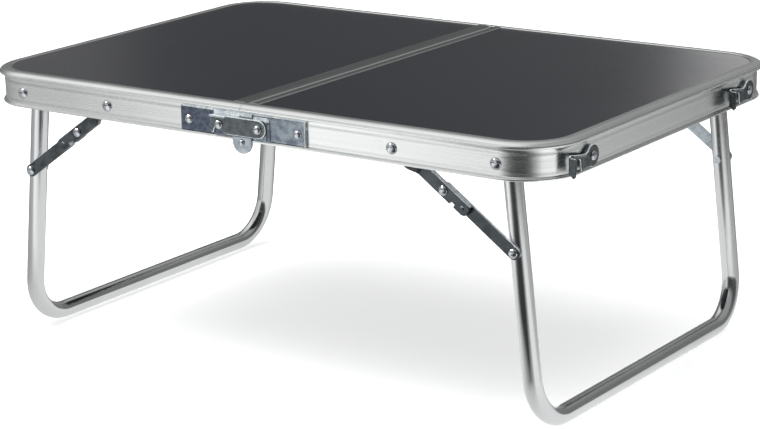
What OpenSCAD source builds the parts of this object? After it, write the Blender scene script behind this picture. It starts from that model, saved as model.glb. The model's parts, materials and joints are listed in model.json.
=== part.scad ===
// Small folding camp table: two framed half tops joined by a fold hinge,
// two U-shaped tube legs with folding braces, swing hooks at the fold and end catches.
// X runs along the table, Y across it, Z up. The origin is on the floor under the middle of the top.

/* [Table top] */
// overall length of the open top
top_length = 600; // [560:5:640]
// overall depth of the top
top_depth = 408; // [400:2:430]
// height of the top surface above the floor
table_height = 250; // [235:1:270]
// outer corner radius of the top
corner_r = 50; // [44:1:56]
// depth of the aluminium rim rail
rail_depth = 32; // [32:0.5:36]
// width of the flat strip beside the fold on the left half
strip_left = 15.5; // [11:0.5:18]
// width of the flat strip beside the fold on the right half
strip_right = 11; // [10:0.5:16]

/* [Legs] */
// outside diameter of the leg tube
leg_tube_d = 16; // [15:0.2:16]
// wall thickness of the leg tube
leg_wall = 1.2; // [0.8:0.1:2]
// distance of each leg pivot from the fold line
leg_pivot_x = 248.5; // [246:0.5:249]
// outward lean of the standing leg
leg_lean = 6.1; // [5:0.1:7]
// distance from the table's centre line to the middle of a leg's side tube
leg_tube_y = 176; // [174:0.5:176]
// bend radius at the two lower corners of a leg, on the tube's centre line
leg_bend_r = 42; // [34:1:60]

/* [Braces] */
// distance of each brace's rail pivot from the fold line
brace_pivot_x = 150; // [149:0.25:151]
// distance from the leg pivot to the brace rivet on the leg
leg_brace_reach = 75.5; // [75:0.25:76]
// width of the brace links
link_w = 11.5; // [10:0.5:12]

/* [Fold hardware] */
// length of a hinge plate from the fold line
plate_reach = 66; // [63:1:72]
// distance of the swing hook's pivot from the fold line
hook_pivot_x = 19.3; // [19:0.1:20]
// distance of the hook's stud from the fold line
hook_stud_x = 21.5; // [21:0.1:22.5]
// radius of the hinge ears under the rail
ear_r = 9.8; // [8.5:0.1:10]

/* [End catches] */
// distance of the end catches from the table's centre line
catch_y = 138; // [120:1:142]
// distance from a catch's pivot to its keeper when it is hooked
catch_reach = 26.4; // [26:0.1:28]

/* [Hidden] */
$fn = 64;
e = 0.01;
H = table_height;
half_l = top_length / 2;
half_d = top_depth / 2;
seam = 0.15;            // half the gap between the two half tops
// steps of the rim rail, measured inwards from its outer face
web_in = 4.5;           // outer face of the side wall
ridge = 0.15;           // height of the ridge and depth of the groove along the side wall
bead_in = 2.5;          // outer face of the bottom bead
inner_in = 6;           // inner face of the side wall
slot_in = 6.3;          // outer end of the panel's slot
shelf_in = 14.5;        // inner edge of the shelf under the panel
lip_in = 11.4;          // inner edge of the lip over the panel
lip_drop = 0.8;         // height of the lip over the panel
cap_drop = 3.8;         // height of the rounded shoulder
cap_bottom = 5;         // lower edge of the overhanging cap
panel_t = 4.9;
slot_bottom = 5.8;
shelf_bottom = 7.2;
bead_top = 28.9;
web_y = half_d - web_in;
wall_y = half_d - inner_in;
rivet_z = H - 19;       // height of all the rail rivets
hook_z = H - 18.5;      // height of the swing hook's pivot and stud
axis_z = H - rail_depth - 0.5; // height of the fold axis
// fasteners
shank_r = 2.5;
fit = 0.06;             // radial clearance of a turning pivot
set = 0.02;             // radial clearance of a fixed shank
head_r = 4.1;
rail_head_r = 5.1;      // rivets through the rail's side wall
head_h = 2.2;
tail_r = 3.5;
stud_r = 2.2;
stud_head_r = 4;
// hinge plate layers, measured out from the table's centre line
sheet = 1.2;
plate_y = web_y + 0.25;  // clear of the ridge along the rail
over_y = plate_y + sheet + 0.3;
pad_y = plate_y + 4.1;
bar_y = pad_y + 0.6;
bar_t = 1.5;
hook_head_y = bar_y + bar_t + 0.25;
plate_top = H - 7.4;
plate_low = H - bead_top + 0.3;
pad_top = H - 8.2;
overlap_x = 11.5;       // how far the left plate reaches past the fold line
pad_end = 29;
bar_w = 16;
hook_end = 30.3;
lip_start = 13;
throat_r = stud_r + 0.4;
// leg
tube_r = leg_tube_d / 2;
bar_centre_z = tube_r;
leg_len = (rivet_z - bar_centre_z) / cos(leg_lean);
tube_over = 10;         // how far the tube runs past its pivot
// brace
far_y = leg_tube_y + tube_r;
low_y = far_y + 0.5;    // inner face of the lower link
low_t = 1.9;
up_in = low_y + low_t + 0.6; // inner edge of the upper link's flanges
up_t = 4;               // depth of the upper link's channel
up_out = up_in + up_t;
up_sheet = 1.5;
up_top = wall_y - 0.3;  // outer face of the upper link at the rail
foot_x = leg_pivot_x + leg_brace_reach * sin(leg_lean);
foot_z = rivet_z - leg_brace_reach * cos(leg_lean);
span = norm([foot_x - brace_pivot_x, rivet_z - foot_z]);
slope = atan2(rivet_z - foot_z, foot_x - brace_pivot_x);
link_step = leg_pivot_x - brace_pivot_x - leg_brace_reach - 0.03;
up_len = (span - link_step) / 2;
low_len = (span + link_step) / 2;
mid_x = brace_pivot_x + up_len * cos(slope);
mid_z = rivet_z - up_len * sin(slope);
up_tail = 27.7;         // how far the upper link runs on past the middle rivet
notch_at = 10;          // edge notch past the middle rivet
dimple_at = 21.6;       // pressed dimple past the middle rivet
step_a = 19;            // where the upper link's offset starts and ends
step_b = 28;
// end catch layers, measured out along X
end_x = half_l - web_in;
catch_x = half_l - 1.7;
catch_out = half_l + 0.4;
catch_t = 1.5;
catch_len = 40;
catch_shift = 2.5;      // both catches sit this much towards the back
catch_z = axis_z + catch_reach / 2; // the keeper folds to as far below the fold axis
catch_w = 16;
catch_top = 8.4;        // upper edge at the free end, above the pivot
catch_low_top = 3.6;    // upper edge beside the pivot
catch_waist = 11;
catch_r = 9;
catch_step = 19;
near_catch_y = -catch_y + catch_shift;
far_catch_y = catch_y + catch_shift;
keeper_x = catch_out + catch_t + 0.4;
tab_out = 4.8;

metal = [0.80, 0.81, 0.82];
polished = [0.86, 0.87, 0.88];
strip_grey = [0.30, 0.30, 0.31];
zinc = [0.47, 0.50, 0.54];
dark_steel = [0.25, 0.27, 0.29];
charcoal = [0.25, 0.25, 0.27];
rivet_metal = [0.78, 0.79, 0.80];

// ---- helpers -------------------------------------------------------------

// extrudes a shape drawn in X and Z from y0 to y1, counted outwards on the front side
module front_slab(y0, y1) {
    translate([0, -y0, 0])
        rotate([90, 0, 0])
            linear_extrude(height = y1 - y0)
                children();
}

// a round piece whose axis runs along Y on the front side
module front_pin(x, z, r, y0, y1) {
    translate([x, -y0, z])
        rotate([90, 0, 0])
            cylinder(r = r, h = y1 - y0);
}

// a domed rivet head, flat side on the plane y0 of the front side
module front_dome(x, z, y0, r = head_r, h = head_h) {
    translate([x, -y0, z])
        rotate([90, 0, 0])
            dome(r, h);
}

// a domed rivet head standing on z = 0
module dome(r, h) {
    rim = 0.25 * h;
    steps = 7;
    arc = [for (i = [0 : steps]) [r * cos(90 * i / steps), rim + (h - rim) * sin(90 * i / steps)]];
    rotate_extrude()
        polygon(concat([[0, 0], [r, 0]], [for (p = arc) [max(p[0], 0), p[1]]]));
}

// a flat strip from (0, 0) along X, rounded at both ends by r
module strip(len, r) {
    translate([0, -r])
        square([len, 2 * r]);
    circle(r = r);
    translate([len, 0])
        circle(r = r);
}

module both_sides() {
    children();
    mirror([0, 1, 0])
        children();
}

// ---- half tops -----------------------------------------------------------

// section of the rim rail: x is minus the distance inwards from the outer face, y is minus the depth
function rail_section() = concat(
    [[-lip_in, -lip_drop], [-lip_in + 1.2, 0], [-8.2, 0]],
    [for (t = [15 : 15 : 90]) [-8.2 + 8.2 * sin(t), -cap_drop * (1 - cos(t))]],
    [[0, -cap_bottom + 0.4], [-0.4, -cap_bottom], [-web_in + 0.6, -cap_bottom],
     [-web_in, -cap_bottom - 0.8], [-web_in, -9.2], [-web_in + ridge, -10.6],
     [-web_in + ridge, -12], [-web_in, -13.4], [-web_in, -22.6], [-web_in - ridge, -24.2],
     [-web_in - ridge, -25.6], [-web_in, -27.2], [-web_in, -bead_top],
     [-bead_in - 0.5, -bead_top - 0.3], [-bead_in, -bead_top - 0.9],
     [-bead_in, -rail_depth + 0.8], [-bead_in - 0.6, -rail_depth],
     [-inner_in, -rail_depth], [-inner_in, -shelf_bottom], [-shelf_in, -shelf_bottom],
     [-shelf_in, -slot_bottom], [-slot_in, -slot_bottom], [-slot_in, -lip_drop]]);

// a straight length of rail with its outer face on y = 0, running along X
module rail_length(len) {
    rotate([90, 0, 90])
        linear_extrude(height = len)
            scale([-1, 1])
                polygon(rail_section());
}

module rail_corner() {
    rotate_extrude(angle = 90)
        translate([corner_r, 0])
            polygon(rail_section());
}

// U-shaped rim of the right half, open at the fold
module rim_rail() {
    color(metal)
        difference() {
            translate([0, 0, H]) {
                translate([seam, -half_d, 0])
                    rail_length(half_l - corner_r - seam);
                mirror([0, 1, 0])
                    translate([seam, -half_d, 0])
                        rail_length(half_l - corner_r - seam);
                translate([half_l, -half_d + corner_r, 0])
                    rotate([0, 0, 90])
                        rail_length(top_depth - 2 * corner_r);
                translate([half_l - corner_r, half_d - corner_r, 0])
                    rail_corner();
                translate([half_l - corner_r, -half_d + corner_r, 0])
                    rotate([0, 0, -90])
                        rail_corner();
            }
            both_sides() {
                rail_hinge_relief();
                rail_hole(leg_pivot_x);
                rail_hole(brace_pivot_x);
                rail_hole(plate_reach - 8.8);
            }
            end_holes();
        }
}

// clears the bottom of the rail for the ears and their rivet
module rail_hinge_relief() {
    translate([-1, -half_d - 1, H - rail_depth - 1])
        cube([ear_r + 2, web_in + 1, rail_depth + 1.05 - bead_top]);
    front_pin(0, axis_z, shank_r + 2, wall_y - 3, half_d);
}

module rail_hole(x) {
    front_pin(x, rivet_z, shank_r + set, wall_y - 3, half_d);
}

module end_holes() {
    for (y = [near_catch_y, far_catch_y])
        translate([end_x - 6, y, catch_z])
            rotate([0, 90, 0])
                cylinder(r = stud_r + set, h = 12);
}

// strip beside the fold on the right half, w is the width of its flat top
module centre_rail(w) {
    top_y = half_d - lip_in - 0.1;
    low_end = half_d - shelf_in - 0.2;
    x0 = 2 * seam;
    color(strip_grey)
        translate([0, 0, H]) {
            bar_along_y(top_y, concat([[x0, -slot_bottom]],
                [for (t = [90 : -18 : 0]) [5.5 - (5.5 - x0) * sin(t), -2.6 * (1 - cos(t))]],
                [[w - 1.2, 0], [w, -lip_drop], [3.5, -lip_drop], [3.5, -slot_bottom]]));
            bar_along_y(low_end, [[x0, -16], [x0, -slot_bottom], [w + 3, -slot_bottom],
                [w + 3, -shelf_bottom], [x0 + 1.6, -shelf_bottom], [x0 + 1.6, -16]]);
        }
}

module bar_along_y(half_len, points) {
    translate([0, half_len, 0])
        rotate([90, 0, 0])
            linear_extrude(height = 2 * half_len)
                polygon(points);
}

// board of the right half
module panel() {
    edge = slot_in + 0.1;
    r = corner_r - edge;
    x0 = 3.7;
    color(charcoal)
        translate([0, 0, H - lip_drop - 0.05 - panel_t])
            linear_extrude(height = panel_t) {
                translate([x0, -half_d + edge + r])
                    square([half_l - edge - x0, top_depth - 2 * (edge + r)]);
                translate([x0, -half_d + edge])
                    square([half_l - edge - r - x0, top_depth - 2 * edge]);
                for (s = [-1, 1])
                    translate([half_l - corner_r, s * (half_d - corner_r)])
                        circle(r = r);
            }
}

// ---- fold hardware -------------------------------------------------------

module ear_outline() {
    translate([0, axis_z])
        circle(r = ear_r);
}

// front hinge plate of the left half; it laps over the right one at the fold
module hinge_plate_left() {
    color(zinc)
        difference() {
            union() {
                front_slab(plate_y, plate_y + sheet)
                    translate([-plate_reach, plate_low])
                        square([plate_reach - pad_end, plate_top - plate_low]);
                front_slab(over_y, over_y + sheet)
                    union() {
                        translate([-pad_end - 1.2, plate_low])
                            square([pad_end + 1.2 + overlap_x, pad_top - plate_low]);
                        translate([-ear_r, axis_z])
                            square([2 * ear_r, plate_low - axis_z + 1]);
                        ear_outline();
                    }
                // step between the two levels
                front_slab(plate_y, over_y + sheet)
                    translate([-pad_end - 1.4, plate_low])
                        square([1.4, pad_top - plate_low]);
                left_pad();
            }
            front_pin(0, axis_z, shank_r + fit, plate_y - 1, pad_y + 1);
            front_pin(-plate_reach + 8.8, rivet_z, shank_r + set, plate_y - 1, pad_y);
            front_pin(-hook_stud_x, hook_z, stud_r + set, plate_y - 1, pad_y + 1);
        }
}

// raised seat behind the hook's free end, with a sloping upper face
module left_pad() {
    y0 = over_y + sheet - e;
    translate([-pad_end, 0, 0])
        rotate([90, 0, 90])
            linear_extrude(height = pad_end)
                polygon([[-y0, pad_top], [-y0 - 0.3, pad_top], [-pad_y, pad_top - 2.6],
                    [-pad_y, plate_low + 1.4], [-pad_y + 0.6, plate_low + 0.4], [-y0, plate_low + 0.4]]);
}

// front hinge plate of the right half
module hinge_plate_right() {
    pad_w = 17.5;
    corner = 5;
    color(zinc)
        difference() {
            union() {
                front_slab(plate_y, plate_y + sheet)
                    union() {
                        translate([seam, plate_low])
                            square([plate_reach - seam, plate_top - plate_low]);
                        translate([seam, axis_z])
                            square([ear_r - seam, plate_low - axis_z + 1]);
                        ear_outline();
                    }
                // raised seat behind the hook's pivot, rounded at its upper outer corner
                front_slab(plate_y + sheet - e, pad_y)
                    translate([overlap_x + 0.6, plate_low])
                        union() {
                            square([pad_w, pad_top - plate_low - corner]);
                            square([pad_w - corner, pad_top - plate_low]);
                            translate([pad_w - corner, pad_top - plate_low - corner])
                                circle(r = corner);
                        }
                // turned-out outer edge
                front_slab(plate_y, plate_y + sheet + 1.4)
                    translate([plate_reach - 1.5, plate_low - 0.1])
                        square([1.5, plate_top - plate_low + 0.2]);
            }
            front_pin(0, axis_z, shank_r + fit, plate_y - 1, pad_y + 1);
            front_pin(plate_reach - 8.8, rivet_z, shank_r + set, plate_y - 1, pad_y);
            front_pin(hook_pivot_x, hook_z, shank_r + set, plate_y - 1, pad_y + 1);
        }
}

module plate_rivet(x) {
    front_dome(x, rivet_z, plate_y + sheet);
    front_pin(x, rivet_z, shank_r, wall_y - 1, plate_y + sheet + e);
    front_pin(x, rivet_z, tail_r, wall_y - 2, wall_y - 0.05);
}

module hook_stud() {
    front_pin(-hook_stud_x, hook_z, stud_r, plate_y + 0.1, hook_head_y + e);
    front_dome(-hook_stud_x, hook_z, hook_head_y, stud_head_r);
}

module hook_pivot() {
    front_pin(hook_pivot_x, hook_z, shank_r, plate_y + 0.1, hook_head_y + e);
    front_pin(hook_pivot_x, hook_z, shank_r + 2, pad_y + 0.05, bar_y - 0.1);
    front_dome(hook_pivot_x, hook_z, hook_head_y);
}

module fold_rivet() {
    small_r = 3.1;
    front_pin(0, axis_z, shank_r, wall_y, over_y + sheet + 0.1);
    front_dome(0, axis_z, over_y + sheet + 0.1, small_r, 1.9);
    front_pin(0, axis_z, small_r + 0.3, wall_y - 0.4, plate_y - 0.15);
}

// outline of the swing hook, with a throat that lets the stud in from below
module hook_outline() {
    low = hook_z - bar_w / 2;
    difference() {
        union() {
            translate([-hook_end + 2, low])
                square([hook_end - 2 + hook_pivot_x, bar_w]);
            translate([-hook_end, low + 2])
                square([4, bar_w - 4]);
            translate([hook_pivot_x, hook_z])
                circle(r = bar_w / 2);
            for (z = [low + 2, low + bar_w - 2])
                translate([-hook_end + 2, z])
                    circle(r = 2);
        }
        translate([-hook_stud_x, hook_z])
            circle(r = throat_r);
        // the outer wall of the throat is an arc about the fold axis
        intersection() {
            translate([0, axis_z])
                circle(r = norm([hook_stud_x, hook_z - axis_z]) + throat_r, $fn = 128);
            polygon([[-hook_end, low - 1], [-hook_end, hook_z], [-hook_stud_x + throat_r, hook_z],
                [-hook_stud_x + throat_r, low + 4.6], [-hook_stud_x + throat_r + 1.2, low + 2],
                [-hook_stud_x + throat_r + 4.4, low], [-hook_stud_x + throat_r + 4.4, low - 1]]);
        }
    }
}

module swing_hook() {
    lip_t = 1.5;
    lip_out = 4.6;
    color(dark_steel)
        difference() {
            union() {
                front_slab(bar_y, bar_y + bar_t)
                    hook_outline();
                // turned-out finger lip on the upper edge
                front_slab(bar_y, bar_y + lip_out)
                    translate([-hook_end + 0.6, hook_z + bar_w / 2 - lip_t])
                        square([hook_end - lip_start, lip_t]);
            }
            front_pin(hook_pivot_x, hook_z, shank_r + fit, bar_y - 1, bar_y + bar_t + 1);
        }
}

// ---- end catches ---------------------------------------------------------

// outline in Y and Z of the catch: pivot at the origin, pointing along -Y
module catch_outline() {
    difference() {
        union() {
            circle(r = catch_r);
            polygon([[-catch_len, -catch_w / 2], [-catch_len, catch_top], [-catch_waist, catch_low_top],
                [0, catch_low_top], [0, -catch_w / 2]]);
        }
        // throat for the keeper, an arc about the pivot, open at the lower edge
        intersection() {
            difference() {
                circle(r = catch_reach + throat_r, $fn = 128);
                circle(r = catch_reach - throat_r, $fn = 128);
            }
            translate([-catch_len, -catch_w])
                square([catch_len, catch_w]);
        }
        translate([-catch_reach, 0])
            circle(r = throat_r);
    }
}

module catch_slab(x0, x1) {
    translate([x0, 0, 0])
        rotate([90, 0, 90])
            linear_extrude(height = x1 - x0)
                children();
}

// an end catch whose pivot is at y
module end_catch(y) {
    color(dark_steel)
        translate([0, y, catch_z])
            difference() {
                union() {
                    catch_slab(catch_x, catch_x + catch_t)
                        intersection() {
                            catch_outline();
                            translate([-catch_step, -20])
                                square([40, 40]);
                        }
                    catch_slab(catch_out, catch_out + catch_t)
                        intersection() {
                            catch_outline();
                            translate([-catch_len, -20])
                                square([catch_len - catch_step, 40]);
                        }
                    // step between the two levels
                    catch_slab(catch_x, catch_out + catch_t)
                        intersection() {
                            catch_outline();
                            translate([-catch_step - 1.2, -20])
                                square([1.4, 40]);
                        }
                    // turned-out upper edge
                    catch_slab(catch_out, catch_out + catch_t + 2.6)
                        catch_flange(catch_step + 2);
                    catch_slab(catch_x, catch_x + catch_t + 1.6)
                        catch_flange(catch_waist + 1);
                    catch_tab();
                }
                translate([catch_x - 1, 0, 0])
                    rotate([0, 90, 0])
                        cylinder(r = shank_r + fit, h = 10);
            }
}

// strip along the sloping upper edge, from near the free end to x = -near
module catch_flange(near) {
    slope_z = (catch_top - catch_low_top) / (catch_len - catch_waist);
    near_z = catch_low_top + slope_z * (near - catch_waist);
    intersection() {
        catch_outline();
        polygon([[-catch_len + 4, catch_top + 4], [-near, catch_top + 4],
            [-near, near_z - 1.4], [-catch_len + 4, catch_top - 4 * slope_z - 1.4]]);
    }
}

// finger tab turned out at the free end, with a pointed lower tip
module catch_tab() {
    translate([0, -catch_len + 1.5, 0])
        rotate([90, 0, 0])
            linear_extrude(height = 1.5)
                polygon([[catch_out, -catch_w / 2], [catch_out, catch_w / 2 - 2],
                    [catch_out + catch_t + tab_out, catch_w / 2 - 2],
                    [catch_out + catch_t + tab_out, -catch_w / 2 - 0.5],
                    [catch_out + catch_t + tab_out / 2, -catch_w / 2 - 2.6],
                    [catch_out + catch_t, -catch_w / 2]]);
}

module end_pin(y, r, x0, x1) {
    translate([x0, y, catch_z])
        rotate([0, 90, 0])
            cylinder(r = r, h = x1 - x0);
}

module end_dome(y, x0, r) {
    translate([x0, y, catch_z])
        rotate([0, 90, 0])
            dome(r, head_h);
}

module catch_pivot(y) {
    end_pin(y, stud_r, end_x - 3, end_x + 0.5);
    end_pin(y, shank_r, end_x + 0.05, catch_x + catch_t + 0.15);
    end_pin(y, 5, end_x + 0.05, catch_x - 0.15);
    end_pin(y, tail_r, end_x - 3.2, end_x - 1.6);
    end_dome(y, catch_x + catch_t + 0.1, head_r);
}

module keeper_stud(y) {
    end_pin(y, stud_r, end_x - 3, keeper_x + e);
    end_pin(y, 5, end_x + 0.05, end_x + 1.2);
    end_pin(y, tail_r, end_x - 3.2, end_x - 1.6);
    end_dome(y, keeper_x, stud_head_r);
}

// ---- legs ----------------------------------------------------------------

module tube(len) {
    difference() {
        cylinder(r = tube_r, h = len);
        translate([0, 0, -1])
            cylinder(r = tube_r - leg_wall, h = len + 2);
    }
}

module tube_bend() {
    rotate_extrude(angle = 90)
        translate([leg_bend_r, 0])
            difference() {
                circle(r = tube_r);
                circle(r = tube_r - leg_wall);
            }
}

// one side of the leg in its own plane: pivot at the origin, tube hanging down -Z at y = -leg_tube_y
module leg_side() {
    translate([0, -leg_tube_y, -leg_len + leg_bend_r])
        tube(leg_len - leg_bend_r + tube_over);
    translate([0, -leg_tube_y + leg_bend_r, -leg_len + leg_bend_r])
        rotate([0, 90, 0])
            rotate([0, 0, -90])
                tube_bend();
    translate([0, -leg_tube_y + leg_bend_r, -leg_len])
        rotate([-90, 0, 0])
            tube(leg_tube_y - leg_bend_r);
}

// places its children on the leaning leg of the right half
module on_leg() {
    translate([leg_pivot_x, 0, rivet_z])
        rotate([0, -leg_lean, 0])
            children();
}

// U-shaped leg of the right half
module leg() {
    color(polished)
        difference() {
            on_leg()
                both_sides()
                    leg_side();
            for (s = [0, 1])
                mirror([0, s, 0]) {
                    front_pin(leg_pivot_x, rivet_z, shank_r + fit, leg_tube_y - 12, far_y + 4);
                    front_pin(foot_x, foot_z, shank_r + set, leg_tube_y - 12, far_y + 4);
                }
        }
}

module leg_pivot() {
    near_y = leg_tube_y - tube_r;
    front_dome(leg_pivot_x, rivet_z, web_y + 0.05, rail_head_r);
    front_pin(leg_pivot_x, rivet_z, shank_r, near_y - 1, web_y + 0.1);
    front_pin(leg_pivot_x, rivet_z, tail_r, near_y - 2, near_y - 0.2);
}

module leg_spacer() {
    difference() {
        front_pin(leg_pivot_x, rivet_z, 4.5, far_y + 0.4, wall_y - 0.3);
        front_pin(leg_pivot_x, rivet_z, shank_r + set, far_y, wall_y + 1);
    }
}

module brace_pivot() {
    front_dome(brace_pivot_x, rivet_z, web_y + 0.05, rail_head_r);
    front_pin(brace_pivot_x, rivet_z, shank_r, up_top - up_sheet - 1, web_y + 0.1);
    front_pin(brace_pivot_x, rivet_z, tail_r, up_top - up_sheet - 1.8, up_top - up_sheet - 0.15);
}

// rivet that joins a lower link to its leg, with a saddle against the tube
module leg_rivet() {
    near_y = leg_tube_y - tube_r;
    front_dome(foot_x, foot_z, low_y + low_t + 0.15);
    front_pin(foot_x, foot_z, shank_r, near_y - 1, low_y + low_t + 0.2);
    front_pin(foot_x, foot_z, tail_r, near_y - 1.6, near_y - 0.05);
    difference() {
        front_pin(foot_x, foot_z, 5.4, leg_tube_y + 3, low_y - 0.15);
        on_leg()
            translate([0, -leg_tube_y, -leg_len])
                cylinder(r = tube_r + 0.05, h = leg_len);
    }
}

// ---- braces --------------------------------------------------------------

// turns a shape so that its X axis runs down the brace of the right half from its rail pivot
module down_brace() {
    translate([brace_pivot_x, rivet_z])
        rotate(-slope)
            children();
}

// side section of the upper link: x along the link, y outwards, d is its depth
function link_side(d) = [[-20, up_top], [step_a, up_top], [step_b, up_out], [110, up_out],
    [110, up_out - d], [step_b, up_out - d], [step_a, up_top - d], [-20, up_top - d]];

// extrudes a side section across the width of the brace
module link_section(d, shift = 0) {
    translate([brace_pivot_x, 0, rivet_z])
        rotate([0, slope, 0])
            translate([0, 0, -20])
                linear_extrude(height = 40)
                    scale([1, -1])
                        translate([0, shift])
                            polygon(link_side(d));
}

// channel-shaped upper link of the right half's front brace
module upper_link() {
    r = link_w / 2;
    len = up_len + up_tail - r;
    rim = 1.2;
    color(dark_steel)
        difference() {
            intersection() {
                front_slab(up_in - 5, wall_y)
                    down_brace()
                        strip(len, r);
                link_section(up_t);
            }
            intersection() {
                front_slab(up_in - 9, wall_y)
                    down_brace()
                        strip(len, r - rim);
                link_section(up_t + 4, -up_sheet);
            }
            // notch in the lower edge past the middle rivet
            front_slab(up_in - 5, wall_y)
                down_brace()
                    translate([up_len + notch_at, -r - 1])
                        square([4.5, 4]);
            front_pin(brace_pivot_x, rivet_z, shank_r + fit, up_in, wall_y);
            front_pin(mid_x, mid_z, shank_r + set, up_in - 1, wall_y);
        }
    // pressed dimple that holds the brace straight
    color(dark_steel)
        front_slab(up_out - e, up_out + 0.5)
            down_brace()
                translate([up_len + dimple_at, 0])
                    circle(r = 1.5);
}

module mid_rivet() {
    front_dome(mid_x, mid_z, up_out + 0.05);
    front_pin(mid_x, mid_z, shank_r, up_in + 0.2, up_out + 0.1);
}

// flat lower link of the right half's front brace
module lower_link() {
    color(dark_steel)
        difference() {
            front_slab(low_y, low_y + low_t)
                down_brace()
                    translate([up_len, 0])
                        strip(low_len, link_w / 2);
            front_pin(foot_x, foot_z, shank_r + fit, low_y - 1, low_y + low_t + 1);
            front_pin(mid_x, mid_z, shank_r + set, low_y - 1, low_y + low_t + 1);
        }
}

module mid_tail() {
    front_pin(mid_x, mid_z, shank_r, low_y, low_y + low_t);
}

// ---- nodes ---------------------------------------------------------------

module left() {
    mirror([1, 0, 0])
        children();
}

module back() {
    mirror([0, 1, 0])
        children();
}

module rivets() {
    color(rivet_metal)
        both_sides()
            children();
}

module rim_rail_left() { left() rim_rail(); }
module centre_rail_left() { left() centre_rail(strip_left); }
module panel_left() { left() panel(); }
module hinge_plate_left_front() { hinge_plate_left(); }
module hinge_plate_left_back() { back() hinge_plate_left(); }
module plate_rivets_left() { rivets() plate_rivet(-plate_reach + 8.8); }
module hook_studs() { rivets() hook_stud(); }
module keeper_studs() { color(rivet_metal) left() { keeper_stud(near_catch_y); keeper_stud(far_catch_y); } }
module leg_pivots_left() { left() rivets() leg_pivot(); }
module leg_spacers_left() { left() rivets() leg_spacer(); }
module brace_pivots_left() { left() rivets() brace_pivot(); }
module rim_rail_right() { rim_rail(); }
module centre_rail_right() { centre_rail(strip_right); }
module panel_right() { panel(); }
module hinge_plate_right_front() { hinge_plate_right(); }
module hinge_plate_right_back() { back() hinge_plate_right(); }
module plate_rivets_right() { rivets() plate_rivet(plate_reach - 8.8); }
module hook_pivots() { rivets() hook_pivot(); }
module catch_pivots() { color(rivet_metal) { catch_pivot(near_catch_y); catch_pivot(far_catch_y); } }
module leg_pivots_right() { rivets() leg_pivot(); }
module leg_spacers_right() { rivets() leg_spacer(); }
module brace_pivots_right() { rivets() brace_pivot(); }
module fold_rivets() { rivets() fold_rivet(); }
module leg_left() { left() leg(); }
module leg_rivets_left() { left() rivets() leg_rivet(); }
module leg_right() { leg(); }
module leg_rivets_right() { rivets() leg_rivet(); }
module upper_link_left_front() { left() upper_link(); }
module mid_rivet_left_front() { color(rivet_metal) left() mid_rivet(); }
module lower_link_left_front() { left() lower_link(); }
module mid_tail_left_front() { color(rivet_metal) left() mid_tail(); }
module upper_link_left_back() { back() left() upper_link(); }
module mid_rivet_left_back() { color(rivet_metal) back() left() mid_rivet(); }
module lower_link_left_back() { back() left() lower_link(); }
module mid_tail_left_back() { color(rivet_metal) back() left() mid_tail(); }
module upper_link_right_front() { upper_link(); }
module mid_rivet_right_front() { color(rivet_metal) mid_rivet(); }
module lower_link_right_front() { lower_link(); }
module mid_tail_right_front() { color(rivet_metal) mid_tail(); }
module upper_link_right_back() { back() upper_link(); }
module mid_rivet_right_back() { color(rivet_metal) back() mid_rivet(); }
module lower_link_right_back() { back() lower_link(); }
module mid_tail_right_back() { color(rivet_metal) back() mid_tail(); }
module swing_hook_front() { swing_hook(); }
module swing_hook_back() { back() swing_hook(); }
module end_catch_near() { end_catch(near_catch_y); }
module end_catch_far() { end_catch(far_catch_y); }

rim_rail_left();
centre_rail_left();
panel_left();
hinge_plate_left_front();
hinge_plate_left_back();
plate_rivets_left();
hook_studs();
keeper_studs();
leg_pivots_left();
leg_spacers_left();
brace_pivots_left();
rim_rail_right();
centre_rail_right();
panel_right();
hinge_plate_right_front();
hinge_plate_right_back();
plate_rivets_right();
hook_pivots();
catch_pivots();
leg_pivots_right();
leg_spacers_right();
brace_pivots_right();
fold_rivets();
leg_left();
leg_rivets_left();
leg_right();
leg_rivets_right();
upper_link_left_front();
mid_rivet_left_front();
lower_link_left_front();
mid_tail_left_front();
upper_link_left_back();
mid_rivet_left_back();
lower_link_left_back();
mid_tail_left_back();
upper_link_right_front();
mid_rivet_right_front();
lower_link_right_front();
mid_tail_right_front();
upper_link_right_back();
mid_rivet_right_back();
lower_link_right_back();
mid_tail_right_back();
swing_hook_front();
swing_hook_back();
end_catch_near();
end_catch_far();
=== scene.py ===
import json
import math

import bmesh
import bpy
from mathutils import Matrix, Vector


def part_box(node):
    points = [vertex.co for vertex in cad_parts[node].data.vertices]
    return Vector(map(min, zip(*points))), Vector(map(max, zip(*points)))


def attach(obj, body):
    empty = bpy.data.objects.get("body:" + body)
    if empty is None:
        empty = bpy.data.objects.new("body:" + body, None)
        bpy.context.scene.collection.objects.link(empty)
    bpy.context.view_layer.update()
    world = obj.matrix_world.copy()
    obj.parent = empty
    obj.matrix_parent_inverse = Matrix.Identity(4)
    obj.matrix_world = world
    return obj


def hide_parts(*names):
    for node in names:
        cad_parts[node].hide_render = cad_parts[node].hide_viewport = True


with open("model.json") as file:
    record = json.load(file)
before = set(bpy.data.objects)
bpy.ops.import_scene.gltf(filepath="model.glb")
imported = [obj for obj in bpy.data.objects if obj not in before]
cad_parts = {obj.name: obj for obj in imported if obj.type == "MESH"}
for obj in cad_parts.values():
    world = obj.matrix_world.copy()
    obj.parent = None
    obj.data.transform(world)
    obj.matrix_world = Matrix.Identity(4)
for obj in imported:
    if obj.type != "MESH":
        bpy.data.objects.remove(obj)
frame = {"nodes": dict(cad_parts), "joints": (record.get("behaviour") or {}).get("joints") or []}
NODES = frame["nodes"]
JOINTS = {j["name"]: j for j in frame["joints"]}
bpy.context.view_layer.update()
MM = 0.001
SIDES = {"left": -1, "right": 1}
ENDS = ("front", "back")


# ---- places from the frame, in millimetres -----------------------------------

def box_mm(node):
    """Lower and upper corner of a CAD node's box, in millimetres."""
    lo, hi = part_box(node)
    return lo / MM, hi / MM


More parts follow.
